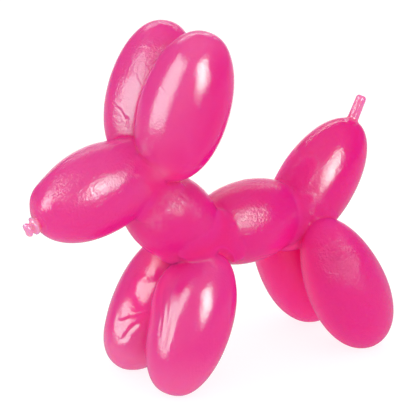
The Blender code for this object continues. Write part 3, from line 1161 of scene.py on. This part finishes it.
# Light: an even white room, whose reflection is brighter in front than behind, and three softboxes
# that show only as reflections. Angles in degrees: azimuth 0 is in front of the dog, 90 on its left.
DOG_MIDDLE = 0.026
WHITE = (1.0, 1.0, 1.0, 1.0)
ROOM_LEVEL = 0.98
BRIGHT_WAY = (30.0, 40.0)
REFLECTED_REACH = (-0.10, 0.90)
REFLECTED_LEVELS = (0.20, 0.98)
BACKDROP_WAY = (-124.0, 0.0)
BACKDROP_EDGE = (0.86, 0.99)
BACKDROP_LEVEL = 0.8
SOFTBOX_TINT = (0.45, 1.0, 0.88)

# Floor: its own brightness, its light on the toy, and its level in reflections near the toy and far off
FLOOR_SIZE = 12.0
FLOOR_ALBEDO = (0.3, 0.3, 0.3, 1.0)
FLOOR_GLOW = 0.82
FLOOR_LIGHT = 0.71
FLOOR_SHINE = (0.32, 1.0)
SHINE_REACH = (0.045, 0.110)


def direction(azimuth, elevation):
    a = math.radians(azimuth)
    e = math.radians(elevation)
    return Vector((math.sin(a) * math.cos(e), -math.cos(a) * math.cos(e), math.sin(e)))


def towards(graph, vector, way, reach, levels=(0.0, 1.0)):
    """A smooth change of level with how closely a vector points a given way."""
    likeness = graph.vector_math("DOT_PRODUCT", "Value", vector, direction(*way))
    return graph.mapped(likeness, reach, levels, "SMOOTHSTEP")


def floor_material():
    """A white, evenly lit table top that glows from within, and shines only faintly in the rubber."""
    material, graph = new_material("pale_floor")
    place = graph.coordinates("Object")
    away = graph.vector_math("LENGTH", "Value", place)
    way = graph.vector_math("NORMALIZE", "Vector", place)
    share = graph.mapped(away, SHINE_REACH)
    share = graph.math("MULTIPLY", share, towards(graph, way, BACKDROP_WAY, BACKDROP_EDGE))
    level = graph.mixed(graph.ray_is("Camera"), FLOOR_LIGHT, FLOOR_GLOW)
    level = graph.mixed(graph.ray_is("Glossy"), level, graph.mixed(share, *FLOOR_SHINE))
    matt = graph.add("ShaderNodeBsdfDiffuse", {"Color": FLOOR_ALBEDO}).outputs["BSDF"]
    glow = graph.add("ShaderNodeEmission", {"Strength": level}).outputs["Emission"]
    both = graph.add("ShaderNodeAddShader", {0: matt, 1: glow}).outputs["Shader"]
    graph.add("ShaderNodeOutputMaterial", {"Surface": both})
    return material


def make_floor():
    bpy.ops.mesh.primitive_plane_add(size=FLOOR_SIZE, location=(0.0, 0.0, 0.0))
    floor = bpy.context.object
    floor.name = "floor"
    floor.data.materials.append(floor_material())


def make_world():
    world = bpy.data.worlds.new("white_room")
    bpy.context.scene.world = world
    world.use_nodes = True
    graph = Graph(world.node_tree)
    way = graph.coordinates("Generated")
    gradient = towards(graph, way, BRIGHT_WAY, REFLECTED_REACH, REFLECTED_LEVELS)
    backdrop = towards(graph, way, BACKDROP_WAY, BACKDROP_EDGE, (0.0, BACKDROP_LEVEL))
    reflected = graph.math("ADD", gradient, backdrop)
    background = graph.nodes["Background"]
    graph.feed(background.inputs["Color"], WHITE)
    graph.feed(background.inputs["Strength"], graph.mixed(graph.ray_is("Glossy"), ROOM_LEVEL, reflected))


def softbox(name, azimuth, elevation, width, height, lean, distance, radiance):
    """A softbox that faces the dog, of a size given as angles. It shows in reflections alone."""
    span = 2 * distance * math.tan(math.radians(width) / 2)
    rise = 2 * distance * math.tan(math.radians(height) / 2)
    light = bpy.data.lights.new(name, "AREA")
    light.shape = "RECTANGLE"
    light.size = span
    light.size_y = rise
    light.energy = radiance * math.pi * span * rise
    light.color = SOFTBOX_TINT
    box = bpy.data.objects.new(name, light)
    bpy.context.scene.collection.objects.link(box)
    way = direction(azimuth, elevation)
    across = Matrix.Rotation(math.radians(lean), 3, way) @ direction(azimuth + 90.0, 0.0)
    upward = way.cross(across)
    place = way * distance + Vector((0.0, 0.0, DOG_MIDDLE))
    turned = Matrix((across, upward, way)).transposed()
    box.matrix_world = Matrix.Translation(place) @ turned.to_4x4()
    box.visible_diffuse = False
    box.visible_camera = False


def make_lights():
    softbox(
        "side_softbox", azimuth=90.5, elevation=30.0, width=23.0, height=36.0,
        lean=12.0, distance=1.0, radiance=22.0,
    )
    softbox(
        "front_softbox", azimuth=-8.0, elevation=24.5, width=44.0, height=61.0,
        lean=0.0, distance=0.45, radiance=9.0,
    )
    softbox(
        "rim_softbox", azimuth=-125.0, elevation=39.0, width=60.0, height=6.0,
        lean=0.0, distance=1.0, radiance=6.0,
    )


# Camera: as the photo was taken, fitted to the outlines of the bubbles
CAMERA_PLACE = (0.19320, -0.12881, 0.09842)
CAMERA_AZIMUTH = 56.2
CAMERA_ELEVATION = 17.552
CAMERA_CLIP = (0.01, 20.0)
PHOTO_FOCAL_PIXELS = 1652.7
PHOTO_PIXELS = 416
SENSOR = 36.0


def make_camera():
    data = bpy.data.cameras.new("camera")
    data.sensor_width = SENSOR
    data.lens = PHOTO_FOCAL_PIXELS / PHOTO_PIXELS * SENSOR
    data.clip_start, data.clip_end = CAMERA_CLIP
    camera = bpy.data.objects.new("camera", data)
    bpy.context.scene.collection.objects.link(camera)
    camera.location = CAMERA_PLACE
    camera.rotation_euler = (math.radians(90.0 - CAMERA_ELEVATION), 0.0, math.radians(CAMERA_AZIMUTH))
    bpy.context.scene.camera = camera


def make_skin():
    piece = remeshed_solid()
    even_mesh(piece)
    refine(piece.data, fine_zone(read_points(piece.data)))
    plain = read_points(piece.data)
    plain = fit_to_skin(plain, fillets(plain), REFINED_FIT_ROUNDS)
    write_points(piece.data, plain)
    emboss(piece)
    untangle(piece)
    for name, measure in SKIN_VALUES.items():
        write_attribute(piece.data, name, measure(plain))
    piece.data.materials.clear()
    piece.data.materials.append(pink_rubber())
    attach(piece, "root")
    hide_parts("balloon_dog")


def main():
    make_camera()
    make_world()
    make_lights()
    make_floor()
    make_skin()
    view = bpy.context.scene.view_settings
    view.view_transform = "Standard"
    view.look = "None"


main()
